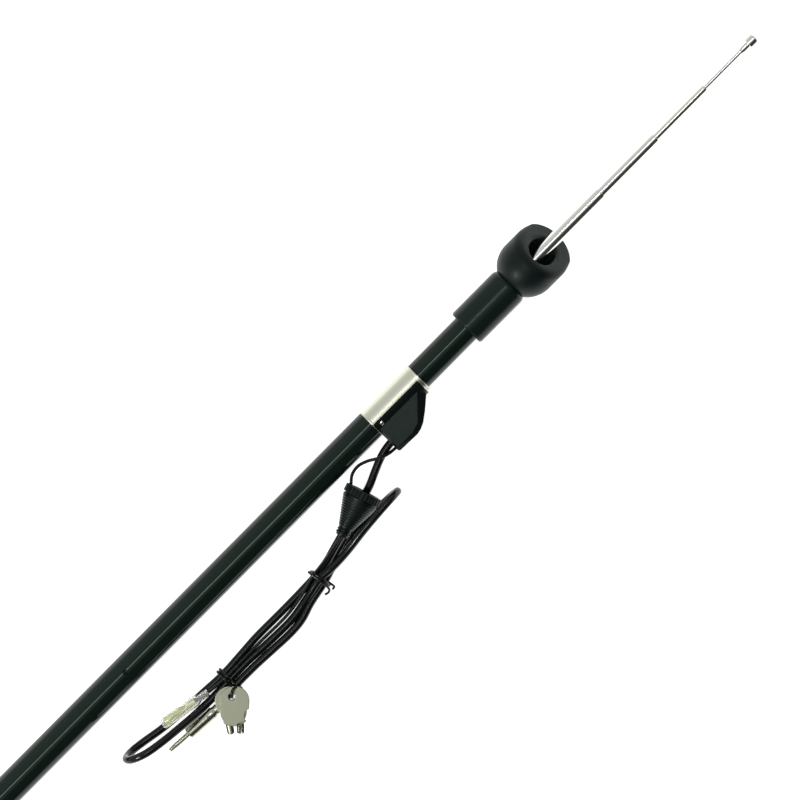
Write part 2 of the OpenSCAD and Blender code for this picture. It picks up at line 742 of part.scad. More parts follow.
// A key cut from sheet, with a long round head, a nick in one side and a shank rolled from the sheet.
module key() {
    head_r = key_head / 2;
    shank_r = shank_d / 2;
    rolled = 0.8;
    root = key_stretch + sqrt(head_r * head_r - shank_side * shank_side) - 1;
    total = shank_len + 1;
    slit = 1.4;
    nick_r = 5.5;
    difference() {
        linear_extrude(key_t, center = true) difference() {
            union() {
                circle(r = head_r);
                translate([key_stretch, 0]) circle(r = head_r);
                translate([0, -head_r]) square([key_stretch, key_head]);
            }
            translate([-2.6, -1.8]) circle(d = key_hole);
            translate([key_stretch + 2.8, head_r + 2.2]) circle(r = nick_r);
        }
        translate([root, shank_side, shank_r - key_t / 2]) rotate([0, 90, 0])
            cylinder(h = shank_d, r = shank_r - rolled);
    }
    translate([root, shank_side, shank_r - key_t / 2]) difference() {
        rotate([0, 90, 0]) cylinder(h = total, r = shank_r);
        translate([-1, 0, 0]) rotate([0, 90, 0]) cylinder(h = total + 2, r = shank_r - rolled);
        translate([-1, -slit / 2, 0]) cube([total + 2, slit, shank_d]);
        translate([total, -shank_d, -shank_r]) rotate([0, -30, 0]) translate([0, 0, -2 * shank_d])
            cube([2 * shank_d, 2 * shank_d, 4 * shank_d]);
    }
}

// Both keys lie in one sloping plane, from the plug down to the surface.
keys_at = [-319.7, -63.6, 9.35];
keys_azimuth = 224.8;
keys_dip = 9.6;

module on_keys_plane() {
    from_seat() translate(keys_at) rotate([0, 0, keys_azimuth]) rotate([0, keys_dip, 0]) children();
}

module key_lower() {
    turn = 12;
    shift = [0.3, -3.4, 0];
    color("#9b9d8e") on_keys_plane() translate(shift) rotate([0, 0, turn]) rotate([180, 0, 0]) key();
}

module key_upper() {
    color("#9fa192") on_keys_plane() translate([0, 0, key_t + fit]) key();
}

housing_tube();
bottom_cap();
insulating_liner();
bright_sleeve();
neck_tube();
collar();
wing_pad();
mast_guide();
contact_collar();
contact_tab();
lead_cover();
cover_rivet();
mast_tube(0);  // mast_tube_1
mast_tube(1);  // mast_tube_2
mast_tube(2);  // mast_tube_3
mast_rod();
foot_bush(0, liner_bore);  // foot_bush_1
foot_bush(1, mast_d[0] - 2 * mast_wall);  // foot_bush_2
foot_bush(2, mast_d[1] - 2 * mast_wall);  // foot_bush_3
foot_bush(3, mast_d[2] - 2 * mast_wall);  // rod_foot
tip_cap();
cone_grommet();
grommet_ring();
coaxial_lead();
earth_lead();
wire_tie_upper();
wire_tie_lower();
plug_shell();
plug_insulator();
plug_pin();
terminal_cover();
brass_terminal();
key_upper();
key_lower();
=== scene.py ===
"""Dresses the telescopic wing antenna: camera, leads, turned and moulded pieces, materials and stage."""

import math

import bmesh
import bpy
from mathutils import Matrix, Vector


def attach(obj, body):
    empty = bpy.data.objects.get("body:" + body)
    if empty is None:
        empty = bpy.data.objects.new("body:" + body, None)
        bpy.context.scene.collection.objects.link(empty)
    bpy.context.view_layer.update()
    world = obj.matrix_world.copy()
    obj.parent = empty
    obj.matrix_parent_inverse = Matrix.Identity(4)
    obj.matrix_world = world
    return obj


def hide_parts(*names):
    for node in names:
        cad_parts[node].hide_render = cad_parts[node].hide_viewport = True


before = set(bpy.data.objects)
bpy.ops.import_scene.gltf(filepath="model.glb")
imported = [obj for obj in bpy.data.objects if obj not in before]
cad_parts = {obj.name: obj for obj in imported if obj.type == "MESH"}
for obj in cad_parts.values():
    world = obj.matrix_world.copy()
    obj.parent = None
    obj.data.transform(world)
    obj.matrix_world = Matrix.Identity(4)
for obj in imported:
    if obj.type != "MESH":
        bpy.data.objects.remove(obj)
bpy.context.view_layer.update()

bl_info = {
    "name": "Telescopic Wing Antenna",
    "version": (1, 0, 0),
    "blender": (4, 5, 0),
    "location": "3D View > Sidebar > Antenna",
    "description": "Builds a telescopic car antenna with its tied lead, plug and keys, ready to photograph",
    "category": "Object",
}

MM = 0.001
SEAT = Vector((134.75, 3.0, 0.0))  # wing seat in the part's frame, in millimetres
AXIS_HEIGHT = 19.715  # mast axis above the surface at the wing seat
LIE_ANGLE = math.radians(1.101)  # rise of the mast towards its tip

# The camera looks straight down. The picture's middle is at this distance from the wing seat.
VIEW_CENTRE = (-104.8, -2.3)
VIEW_TURN = math.radians(-45.24)
VIEW_WIDTH = 520.0
LENS = 200.0
SENSOR = 36.0

# Ways of the leads and ties, in millimetres from the wing seat, as in the part's source.
COAX_WAY = [
    (-120, -17.6, 17.4), (-129, -17.6, 17.3), (-136, -18.6, 17.1), (-143, -20.8, 16.5), (-151, -24.2, 15.4),
    (-158, -27.3, 14.2), (-165, -29.4, 13), (-180, -33.2, 12.1), (-194, -37.2, 11.4), (-205, -40.2, 9.8),
    (-214, -42.6, 7.6), (-225, -44, 5), (-240, -44.6, 3.9), (-257, -44.8, 3.3), (-280, -44.7, 3.4),
    (-296, -45.6, 4), (-313, -46.5, 5), (-330, -45.7, 3.8), (-350, -44.6, 2.9), (-366, -43.2, 2.8),
    (-381, -40.7, 3.4), (-391, -39.4, 7.6), (-396, -40.2, 16), (-392.5, -43.4, 24.4), (-383, -46.8, 28.4),
    (-371, -49, 24.8), (-358, -50.6, 17.4), (-345, -51.9, 9.8), (-330, -52.4, 5.4), (-313, -51.9, 5),
    (-296, -51.8, 3.9), (-280, -52.7, 3.3), (-257, -53.1, 3.2), (-240, -50.4, 5), (-225, -47.4, 9.6),
    (-214, -47.8, 11.2), (-200, -47.3, 14.6), (-182, -45.2, 21.6), (-166, -43.8, 27), (-155, -43.2, 25.6),
    (-148.2, -42.9, 16.4), (-152.5, -42.5, 7), (-161, -42.1, 2.9), (-173, -41, 2.8), (-186, -41, 2.8),
    (-200, -43.9, 2.9), (-213, -47.6, 3.5), (-225, -51.1, 4.4), (-240, -54.2, 3.9), (-252, -57.8, 3.3),
    (-264, -58.8, 3.2), (-280, -58.1, 3.3), (-296, -57.3, 4), (-313, -57.3, 5), (-321, -58.4, 4.3),
    (-329, -59.6, 4.1),
]
EARTH_WAY = [
    (-120, -22.2, 17.4), (-129, -22.2, 17.4), (-135.5, -21.4, 19.4), (-141.5, -19, 21.2),
    (-148, -15.2, 20.4), (-154.7, -13.2, 18.6), (-161.2, -14.4, 17), (-166.6, -18.6, 15.6),
    (-172, -23.2, 15), (-181, -30, 15.1), (-189, -34.9, 15.2), (-194.6, -37.2, 15.2), (-203, -39.4, 14.1),
    (-214, -41.4, 11.9), (-225, -42.8, 9.6), (-240, -46.4, 7.2), (-257, -48.9, 5.6), (-280, -48.7, 5.5),
    (-296, -48.8, 6.7), (-313, -49.1, 8.7), (-321, -48.5, 9.2), (-328, -47.7, 9.4), (-338, -45.9, 9.4),
]
TIE_UPPER_WAY = [
    (-229.6, -57, 5.2), (-227.2, -57.6, 5.4), (-225.2, -56.8, 7.2), (-224.6, -53.4, 10.4),
    (-225, -49.6, 13), (-225.6, -45.6, 13.4), (-226.2, -41, 12.6), (-226.4, -38.9, 10.2),
    (-226.2, -39.6, 6.4), (-225.8, -41, 2.4), (-225.2, -44.6, 0.9), (-224.4, -51, 0.9), (-223.8, -54.6, 3),
    (-223.2, -54.4, 7.6), (-223.4, -50.6, 12), (-224, -46, 13.2), (-224.6, -41.6, 12), (-224.9, -39.7, 7),
    (-224.3, -41.2, 2.6), (-223.6, -45, 0.9), (-222.8, -51, 0.9), (-221.8, -55.6, 2.4),
    (-221.6, -57.6, 5.2), (-223.4, -58, 6.8),
]
TIE_LOWER_WAY = [
    (-320.3, -61.6, 7.2), (-318.8, -60.4, 7.6), (-316.4, -58.4, 8.4), (-315.2, -56, 8.9),
    (-314.8, -53, 9.2), (-314.6, -49.4, 11), (-314.6, -45.6, 9.4), (-314.7, -42.8, 6.4), (-314.7, -43.3, 3),
    (-314.5, -46.4, 1.2), (-314.2, -52, 1.1), (-313.9, -58, 1.2), (-313.6, -61, 3.6), (-313.2, -60.6, 7),
    (-312.7, -57, 8.9), (-312.4, -52.6, 9.2), (-312.3, -49, 11), (-312.4, -45.4, 9.4), (-312.5, -42.7, 6.4),
    (-312.5, -43.2, 3), (-312.2, -46.4, 1.2), (-312, -52, 1.1), (-311.8, -58, 1.2), (-311.4, -61.2, 4),
    (-311.4, -60.8, 8), (-312.4, -58.6, 11.4), (-314.8, -57.8, 13.2), (-317.4, -58.8, 13.4),
    (-319, -60.2, 12.2), (-319.4, -60.8, 10),
]


# Sizes and colours that a user would change


def linear(hex_colour):
    """Turns an sRGB hex colour into linear RGBA."""
    parts = [int(hex_colour[i : i + 2], 16) / 255 for i in (1, 3, 5)]
    return (*[c / 12.92 if c <= 0.04045 else ((c + 0.055) / 1.055) ** 2.4 for c in parts], 1.0)


def length(name, description, millimetres):
    """A length property with its default in millimetres."""
    return bpy.props.FloatProperty(
        name=name,
        description=description,
        default=millimetres * MM,
        min=0.0001,
        precision=5,
        subtype="DISTANCE",
        unit="LENGTH",
    )


def colour(name, description, hex_colour):
    """A colour property with its default as an sRGB hex value."""
    return bpy.props.FloatVectorProperty(
        name=name, description=description, default=linear(hex_colour)[:3], size=3, min=0, max=1, subtype="COLOR"
    )


class AntennaSizes(bpy.types.PropertyGroup):
    """Sizes of the pieces that the scene draws"""

    sleeve: length("Sleeve", "Diameter of the bright sleeve", 21.0)
    sleeve_lips: length("Sleeve lips", "Diameter over the turned lips of the sleeve", 21.9)
    collar: length("Collar", "Diameter of the satin collar", 26.6)
    collar_length: length("Collar length", "Length of the satin collar", 41.6)
    pad: length("Pad", "Diameter of the rubber pad", 40.0)
    pad_height: length("Pad height", "Height of the pad's sloping face above the wing seat", 31.6)
    pad_edge: length("Pad edge", "Radius of the pad's soft upper edge", 9.0)
    mast_1: length("First tube", "Diameter of the first mast tube", 8.8)
    mast_2: length("Second tube", "Diameter of the second mast tube", 7.4)
    mast_3: length("Third tube", "Diameter of the third mast tube", 5.3)
    mast_4: length("Rod", "Diameter of the mast's rod", 3.2)
    tip: length("Tip", "Diameter of the tip cap", 8.4)
    coax: length("Coaxial lead", "Diameter of the coaxial lead", 5.4)
    earth: length("Earth lead", "Diameter of the earth lead", 2.2)
    tie_upper: length("Upper tie", "Diameter of the upper wire tie", 1.6)
    tie_lower: length("Lower tie", "Diameter of the lower wire tie", 2.0)
    ring: length("Grommet ring", "Diameter over the fluted ring", 26.0)
    terminal_cover: length("Terminal cover", "Diameter of the clear cover over the earth terminal", 7.5)
    key_head: length("Key head", "Width of a key's head", 19.2)
    key_sheet: length("Key sheet", "Thickness of the sheet that the keys are cut from", 1.2)


class AntennaColours(bpy.types.PropertyGroup):
    """Colours of the finishes"""

    housing: colour("Housing", "Extruded plastic of the housing and neck", "#101915")
    collar: colour("Collar", "Satin plastic of the collar", "#141e1a")
    rubber: colour("Rubber", "Rubber of the wing pad", "#0e1515")
    moulded: colour("Moulded cover", "Moulded plastic of the lead cover, cap and grommet", "#0d1312")
    sleeve: colour("Sleeve", "Bright plated steel of the sleeve", "#d3d5c4")
    chrome: colour("Chrome", "Chrome of the mast", "#e6e8e2")
    natural: colour("Natural plastic", "Acetal of the guide and the insulator", "#dedbcf")
    brass: colour("Brass", "Spring brass of the contact and bushes", "#bfa567")
    lead: colour("Lead", "PVC jacket of the leads and ties", "#080d0b")
    nickel: colour("Nickel", "Nickel of the plug", "#bdbcac")
    clear: colour("Clear cover", "Soft clear PVC over the terminal", "#fbfcf8")
    terminal: colour("Terminal", "Pale brass of the earth terminal", "#f0f2a8")
    key: colour("Keys", "Dull nickel of the keys", "#a9ad97")


def size(name):
    """One of the sizes, in millimetres."""
    return getattr(bpy.context.scene.antenna_sizes, name) / MM


# Places of the pieces, as matrices in metres


def from_seat(place):
    """A point given in millimetres from the wing seat, in metres in the part's frame."""
    return (SEAT + Vector(place)) * MM


def turned_about(axis, degrees):
    return Matrix.Rotation(math.radians(degrees), 4, axis)


ON_MAST = Matrix.Translation(from_seat((0, 0, AXIS_HEIGHT))) @ Matrix.Rotation(-LIE_ANGLE, 4, "Y")
ON_GROMMET = Matrix.Translation(from_seat((-163.3, -28, 13.139))) @ turned_about("Z", 196.8) @ turned_about("Y", 1)
ON_TERMINAL = Matrix.Translation(from_seat((-328.2, -47.5, 9.4))) @ turned_about("Z", 170)
ON_KEYS = Matrix.Translation(from_seat((-319.7, -63.6, 9.35))) @ turned_about("Z", 224.8) @ turned_about("Y", 9.6)
ON_UPPER_KEY = ON_KEYS @ Matrix.Translation((0, 0, 1.25 * MM))
ON_LOWER_KEY = ON_KEYS @ Matrix.Translation((0.3 * MM, -3.4 * MM, 0)) @ turned_about("Z", 12) @ turned_about("X", 180)


# Materials


def add_node(tree, kind, settings=None, links=None):
    """Adds a node, sets its properties and unlinked inputs, and links its other inputs."""
    node = tree.nodes.new(kind)
    for key, value in (settings or {}).items():
        if isinstance(key, int) or key in node.inputs:
            node.inputs[key].default_value = value
        else:
            setattr(node, key, value)
    for key, source in (links or {}).items():
        tree.links.new(source, node.inputs[key])
    return node


COOL = linear("#d0e8dc")  # the cast of sky light on black plastic

# Each finish is named by its slot in the part's record: the material's name, its colour above, its
# roughness and how much that varies, the size of its grain along and across the mast in millimetres,
# the strength of the grain in relief, and what else the shader needs.
FINISHES = {
    # Extruded polythene: smooth, with faint lines along the tube that break its highlight
    "housing_black": (
        "Extruded black polythene", "housing", 0.1, 0.03, (60, 1.5), 0.06,
        {"Specular IOR Level": 0.36, "Specular Tint": COOL},
    ),
    # Bead-blasted mould: an even satin with a soft highlight
    "collar_black": (
        "Satin moulded nylon", "collar", 0.22, 0.06, (0.9, 0.9), 0.2, {"Specular IOR Level": 0.26, "Specular Tint": COOL}
    ),
    # Moulded rubber: matte, slightly mottled by bloom
    "pad_rubber": (
        "Moulded black rubber", "rubber", 0.42, 0.1, (2.5, 2.5), 0.3, {"Specular IOR Level": 0.22, "Specular Tint": COOL}
    ),
    # Spark-eroded mould: fine satin that picks out edges
    "moulded_black": (
        "Moulded black plastic", "moulded", 0.3, 0.08, (0.7, 0.7), 0.35, {"Specular IOR Level": 0.2, "Specular Tint": COOL}
    ),
    # Drawn and plated steel: bright, with fine lines along the sleeve from the die
    "bright_sleeve": ("Drawn plated steel", "sleeve", 0.38, 0.1, (40, 0.8), 0.12, {"Metallic": 1.0}),
    # Polished chrome on brass: mirror bright
    "mast_chrome": ("Polished chrome on brass", "chrome", 0.13, 0.03, (30, 3), 0.0, {"Metallic": 1.0}),
    # Turned acetal: pale and waxy
    "natural_plastic": ("Turned natural acetal", "natural", 0.4, 0.05, (1, 1), 0.1, {}),
    # Rolled spring brass, a little dulled
    "contact_brass": ("Rolled spring brass", "brass", 0.3, 0.1, (2, 0.5), 0.1, {"Metallic": 1.0}),
    # Extruded PVC jacket: glossy, slightly wavy
    "lead_black": ("Glossy extruded PVC", "lead", 0.14, 0.05, (8, 2), 0.25, {"Specular IOR Level": 0.32}),
    # Nickel-plated tube: bright with a warm cast
    "plug_nickel": ("Bright nickel plate", "nickel", 0.22, 0.06, (6, 1), 0.03, {"Metallic": 1.0}),
    # Dipped soft PVC: clear with a milky bloom
    "clear_cover": (
        "Milky clear PVC", "clear", 0.14, 0.04, (6, 6), 0.05, {"Transmission Weight": 0.82, "IOR": 1.2}
    ),
    # Stamped brass with a pale lacquer
    "terminal_brass": ("Lacquered pale brass", "terminal", 0.45, 0.1, (1, 1), 0.15, {"Metallic": 0.2}),
    # Tumbled key blank: dull nickel with an even grain, and painted shade on the sheet's edges
    "key_steel": ("Tumbled dull nickel", "key", 0.44, 0.08, (0.6, 0.6), 0.35, {"Metallic": 1.0}),
}


def finish(slot):
    """The material of a slot, built the first time that it is asked for."""
    name, tint, roughness, spread, (along, across), relief, extra = FINISHES[slot]
    if name in bpy.data.materials:
        return bpy.data.materials[name]
    material = bpy.data.materials.new(name)
    material.use_nodes = True
    tree = material.node_tree
    tree.nodes.clear()
    place = add_node(tree, "ShaderNodeTexCoord").outputs["Object"]
    grain_scale = (1 / (along * MM), 1 / (across * MM), 1 / (across * MM))
    grained = add_node(tree, "ShaderNodeVectorMath", {"operation": "MULTIPLY", 1: grain_scale}, {0: place})
    noise = add_node(tree, "ShaderNodeTexNoise", {"Scale": 1.0, "Detail": 5.0}, {"Vector": grained.outputs[0]})
    rough = add_node(
        tree,
        "ShaderNodeMapRange",
        {"To Min": max(roughness - spread, 0.02), "To Max": roughness + spread},
        {"Value": noise.outputs["Fac"]},
    )
    bump = add_node(
        tree, "ShaderNodeBump", {"Strength": relief, "Distance": 0.02 * MM}, {"Height": noise.outputs["Fac"]}
    )
    tone = (*getattr(bpy.context.scene.antenna_colours, tint), 1.0)
    shader = add_node(
        tree,
        "ShaderNodeBsdfPrincipled",
        {"Base Color": tone, **extra},
        {"Roughness": rough.outputs["Result"], "Normal": bump.outputs["Normal"]},
    )
    # The keys' edges get painted shade, which stands for the shaded gap between them.
    if slot == "key_steel":
        paint_shade_on_edges(tree, shader, tone)
    add_node(tree, "ShaderNodeOutputMaterial", links={"Surface": shader.outputs["BSDF"]})
    return material


def paint_shade_on_edges(tree, shader, tone):
    """Paints shade on faces that don't lie in an object's own XY plane, so the sheet's edges read as the shaded gap
    between the two keys.
    """
    normal = add_node(tree, "ShaderNodeTexCoord").outputs["Normal"]
    upright = add_node(tree, "ShaderNodeSeparateXYZ", links={0: normal}).outputs["Z"]
    level = add_node(tree, "ShaderNodeMath", {"operation": "ABSOLUTE"}, {0: upright}).outputs[0]
    flat = add_node(tree, "ShaderNodeMapRange", {"From Min": 0.75, "From Max": 0.97}, {"Value": level})
    # The painted shade: the key's own colour brought near black.
    dark = (*[channel * 0.04 for channel in tone[:3]], 1.0)
    # A colour mix keeps its two colours in sockets 6 and 7, and gives its colour at output 2.
    mix = add_node(
        tree, "ShaderNodeMix", {"data_type": "RGBA", 6: dark, 7: tone}, {0: flat.outputs["Result"]}
    )
    tree.links.new(mix.outputs[2], shader.inputs["Base Color"])


def colour_nodes(slots):
    """Gives solids of the part their materials."""
    for name, slot in slots.items():
        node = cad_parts[name]
        node.data.materials.clear()
        node.data.materials.append(finish(slot))


# Forms


def add_object(name, data, place, node, slot, body="aerial"):
    """Adds a piece that stands in for one of the part's solids and rides on its body."""
    piece = bpy.data.objects.new(name, data)
    bpy.context.scene.collection.objects.link(piece)
    piece.matrix_world = place
    data.materials.append(finish(slot))
    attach(piece, body)
    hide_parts(node)
    return piece


def add_mesh(name, form, *place_and_node, **more):
    """Closes a bmesh into a piece with smooth faces, whose broad faces keep their shading flat."""
    bmesh.ops.recalc_face_normals(form, faces=form.faces)
    mesh = bpy.data.meshes.new(name)
    form.to_mesh(mesh)
    form.free()
    mesh.polygons.foreach_set("use_smooth", [True] * len(mesh.polygons))
    piece = add_object(name, mesh, *place_and_node, **more)
    normals = piece.modifiers.new("normals", "WEIGHTED_NORMAL")
    normals.weight = 100
    return piece


def join_rings(form, rings, closed=False):
    """Skins a row of rings, of which one with a single vertex is a pole."""
    following = rings[1:] + rings[:1] if closed else rings[1:]
    for low, high in zip(rings, following):
        count = max(len(low), len(high))
        if count == 1:
            continue
        for k in range(count):
            n = (k + 1) % count
            if len(low) == 1:
                form.faces.new((low[0], high[k], high[n]))
            elif len(high) == 1:
                form.faces.new((low[k], high[0], low[n]))
            else:
                form.faces.new((low[k], high[k], high[n], low[n]))


def eased(profile, ease):
    """A closed profile with each corner cut by a small bevel."""
    points = [Vector(p) for p in profile]
    softened = []
    for i, corner in enumerate(points):
        before, after = points[i - 1] - corner, points[(i + 1) % len(points)] - corner
        if corner.y < 1e-6 or before.length < 1e-6 or after.length < 1e-6 or before.angle(after) > math.radians(160):
            softened.append(corner)
            continue
        for side in (before, after):
            softened.append(corner + side.normalized() * min(ease, side.length * 0.4))
    return softened


def lathe(name, profile, *place_and_node, ease=0.15, segments=96, **more):
    """Turns a closed profile of (distance along X, radius), in millimetres, round the X axis."""
    form = bmesh.new()
    rings = []
    for along, radius in eased(profile, ease):
        count = segments if radius > 1e-6 else 1
        angles = [math.tau * k / count for k in range(count)]
        rings.append([
            form.verts.new((along * MM, radius * math.cos(a) * MM, radius * math.sin(a) * MM)) for a in angles
        ])
    join_rings(form, rings, closed=True)
    return add_mesh(name, form, *place_and_node, **more)


def arc(centre, radii, start, end, steps):
    """Points of an arc in a profile, with its angles in degrees from the X direction."""
    turns = [math.radians(start + (end - start) * k / steps) for k in range(steps + 1)]
    return [(centre[0] + radii[0] * math.cos(a), centre[1] + radii[1] * math.sin(a)) for a in turns]


def smooth_way(way, steps):
    """Points of a smooth curve through a way, with `steps` pieces between two of its points."""
    points = [Vector(p) for p in way]
    line = []
    for i in range(len(points) - 1):
        a, b, c, d = points[max(i - 1, 0)], points[i], points[i + 1], points[min(i + 2, len(points) - 1)]
        for k in range(steps):
            t = k / steps
            line.append((2 * b + (c - a) * t + (2 * a - 5 * b + 4 * c - d) * t**2 + (3 * b - a - 3 * c + d) * t**3) / 2)
    line.append(points[-1])
    return line


def lead_curve(name, way, diameter, node, steps=8):
    """A round lead along a way, as one curve with its ends closed, and its length in metres."""
    line = smooth_way(way, steps)
    curve = bpy.data.curves.new(name, "CURVE")
    curve.dimensions = "3D"
    curve.bevel_depth = diameter / 2 * MM
    curve.bevel_resolution = 6
    curve.use_fill_caps = True
    spline = curve.splines.new("POLY")
    spline.points.add(len(line) - 1)
    for point, place in zip(spline.points, line):
        point.co = (*from_seat(place), 1)
    spline.use_smooth = True
    lead = add_object(name, curve, Matrix(), node, "lead_black")
    return lead, sum((b - a).length for a, b in zip(line, line[1:])) * MM


# Operators, one for each piece or group of like pieces


class ANTENNA_OT_camera(bpy.types.Operator):
    """Looks straight down on the antenna from far away"""

    bl_idname = "antenna.camera"
    bl_label = "Camera"

    def execute(self, context):
        camera_data = bpy.data.cameras.new("camera")
        camera_data.lens = LENS
        camera_data.sensor_width = SENSOR
        camera_data.clip_end = 20
        camera = bpy.data.objects.new("camera", camera_data)
        context.scene.collection.objects.link(camera)
        camera.location = from_seat((*VIEW_CENTRE, VIEW_WIDTH * LENS / SENSOR + AXIS_HEIGHT))
        camera.rotation_euler = (0, 0, VIEW_TURN)
        context.scene.camera = camera
        return {"FINISHED"}


class ANTENNA_OT_leads(bpy.types.Operator):
    """Lays the coaxial lead with its plug, the earth lead with its terminal, and the two wire ties"""

    bl_idname = "antenna.leads"
    bl_label = "Leads and ties"

    def execute(self, context):
        coax, coax_length = lead_curve("coax", COAX_WAY, size("coax"), "coaxial_lead")
        earth, earth_length = lead_curve("earth", EARTH_WAY, size("earth"), "earth_lead")
        ties = [
            lead_curve("tie_upper", TIE_UPPER_WAY, size("tie_upper"), "wire_tie_upper")[0],
            lead_curve("tie_lower", TIE_LOWER_WAY, size("tie_lower"), "wire_tie_lower")[0],
        ]
        colour_nodes({
            "coaxial_lead": "lead_black", "earth_lead": "lead_black",
            "wire_tie_upper": "lead_black", "wire_tie_lower": "lead_black",
            "plug_shell": "plug_nickel", "plug_pin": "plug_nickel", "plug_insulator": "natural_plastic",
            "brass_terminal": "terminal_brass",
        })
        size("coax") * MM
        draw_grommet()
        size("earth") * MM
        draw_terminal_cover()
        print("lead lengths in metres", round(coax_length, 4), round(earth_length, 4))
        return {"FINISHED"}


def draw_grommet():
    """The ribbed rubber cone and its fluted ring."""
    colour_nodes({"cone_grommet": "moulded_black", "grommet_ring": "moulded_black"})
    ring_width = 5.2
    ring_radius = size("ring") / 2
    bore = 10.4
    flutes = 26
    fine = 8
    flute_depth = 0.6
    form = bmesh.new()
    rings = []
    for along, inset in ((0, 0.35), (0.35, 0), (ring_width - 0.35, 0), (ring_width, 0.35)):
        outline = []
        for k in range(flutes * fine):
            turn = math.tau * k / (flutes * fine)
            dent = max(math.cos(flutes * turn), 0.0) ** 2 * flute_depth
            radius = ring_radius - inset - dent
            outline.append(form.verts.new((along * MM, radius * math.cos(turn) * MM, radius * math.sin(turn) * MM)))
        rings.append(outline)
    for along in (ring_width, 0):
        turns = [math.tau * k / (flutes * fine) for k in range(flutes * fine)]
        rings.append([form.verts.new((along * MM, bore * math.cos(a) * MM, bore * math.sin(a) * MM)) for a in turns])
    join_rings(form, rings, closed=True)
    ring = add_mesh("grommet_ring_fluted", form, ON_GROMMET, "grommet_ring", "moulded_black")

    wall, end_wall, groove = 1.2, 0.8, 0.9
    top_radius, end_radius = 12.4, 4.6
    flank, end_length = 22.5, 5.0
    taper = (top_radius - end_radius) / (flank - groove)
    ribs = 12
    first_rib = 3.0
    pitch = (flank - 2 * first_rib + 1) / (ribs - 1)

    def side(along):
        return top_radius - taper * (along - groove)

    bump = ((-0.5, 0.0), (-0.32, 0.26), (0.0, 0.35), (0.32, 0.26), (0.5, 0.0))
    profile = [(0, top_radius - groove), (groove, top_radius - groove), (groove, top_radius)]
    for i in range(ribs):
        middle = first_rib + i * pitch
        profile += [(middle + step, side(middle + step) + rise) for step, rise in bump]
    profile.append((flank, end_radius))
    for middle in (flank + 1, flank + 3):
        profile += [(middle + step * 1.7, end_radius - 0.4 + rise * 2) for step, rise in bump]
    profile += [
        (flank + end_length, end_radius - 0.4), (flank + end_length, end_radius - end_wall),
        (flank, end_radius - end_wall), (0, top_radius - wall - groove),
    ]
    moved = [(ring_width + along, radius) for along, radius in profile]
    cone = lathe("cone_ribbed", moved, ON_GROMMET, "cone_grommet", "moulded_black", ease=0.1)
    return [cone, ring]


def draw_terminal_cover():
    """The soft clear cover, with a rounded mouth."""
    colour_nodes({"terminal_cover": "clear_cover"})
    radius = size("terminal_cover") / 2
    neck, neck_radius, body, wall, bore = 6.8, 2.4, 30.0, 0.7, 1.4
    total = neck + body
    mouth = 1.4
    profile = [
        (0, bore), (0, neck_radius), (neck, neck_radius), (neck + 3, radius),
        *arc((total - mouth, radius - mouth), (mouth, mouth), 90, 0, 6),
        (total - 0.3, radius - mouth - 0.5), (total - mouth, radius - wall), (neck + 3.4, radius - wall), (neck + 1, bore),
    ]
    return lathe("terminal_cover_soft", profile, ON_TERMINAL, "terminal_cover", "clear_cover", ease=0.2)


class ANTENNA_OT_housing(bpy.types.Operator):
    """Finishes the housing tube with its cap and liner, the neck tube and the hidden inner parts"""

    bl_idname = "antenna.housing"
    bl_label = "Housing and inner parts"

    def execute(self, context):
        colour_nodes({
            "housing_tube": "housing_black", "bottom_cap": "moulded_black", "insulating_liner": "moulded_black",
            "neck_tube": "housing_black", "mast_guide": "natural_plastic", "contact_collar": "contact_brass",
            "contact_tab": "contact_brass", "foot_bush_1": "contact_brass", "foot_bush_2": "contact_brass",
            "foot_bush_3": "contact_brass", "rod_foot": "contact_brass",
        })
        return {"FINISHED"}


class ANTENNA_OT_sleeve_and_collar(bpy.types.Operator):
    """Turns the bright sleeve and the satin collar"""

    bl_idname = "antenna.sleeve_and_collar"
    bl_label = "Sleeve and collar"

    def execute(self, context):
        colour_nodes({"bright_sleeve": "bright_sleeve", "collar": "collar_black"})
        low, high, lip = -129.0, -85.5, 1.3
        radius, lip_radius = size("sleeve") / 2, size("sleeve_lips") / 2
        spigot, spigot_radius, bore, neck_bore = 12.0, 9.15, 7.0, 8.55
        lathe(
            "sleeve_turned",
            [
                (low - spigot, bore), (low - spigot, spigot_radius), (low, spigot_radius), (low, lip_radius),
                (low + lip, lip_radius), (low + lip, radius), (high - lip, radius), (high - lip, lip_radius),
                (high, lip_radius), (high, neck_bore), (high - spigot, neck_bore), (high - spigot, bore),
            ],
            ON_MAST, "bright_sleeve", "bright_sleeve", ease=0.22,
        )
        length_down = size("collar_length")
        radius = size("collar") / 2
        shoulder, top_radius, crest = 5.0, 9.4, 11.77
        inside, hole, neck_top = 9.7, 7.05, -7.9
        rim, rim_step = 1.0, 0.5
        # The pad's ball rests in a seat of its own radius, turned into the collar's end.
        ball, clearance = size("pad") / 2, 0.05
        middle = ball - 5

        def seat(rho):
            return middle - math.sqrt((ball + clearance) ** 2 - rho**2)

        rounded = arc((-shoulder, top_radius), (shoulder, radius - top_radius), 90, 0, 14)
        lathe(
            "collar_turned",
            [
                (-length_down, inside), (-length_down, radius - rim_step),
                (-length_down + rim, radius - rim_step), (-length_down + rim, radius),
                *[(x, rho) for x, rho in rounded if rho > crest],
                *[(seat(rho), rho) for rho in (crest, 10.5, 9.0, hole)],
                (neck_top, hole), (neck_top, inside),
            ],
            ON_MAST, "collar", "collar_black", ease=0.2,
        )
        return {"FINISHED"}


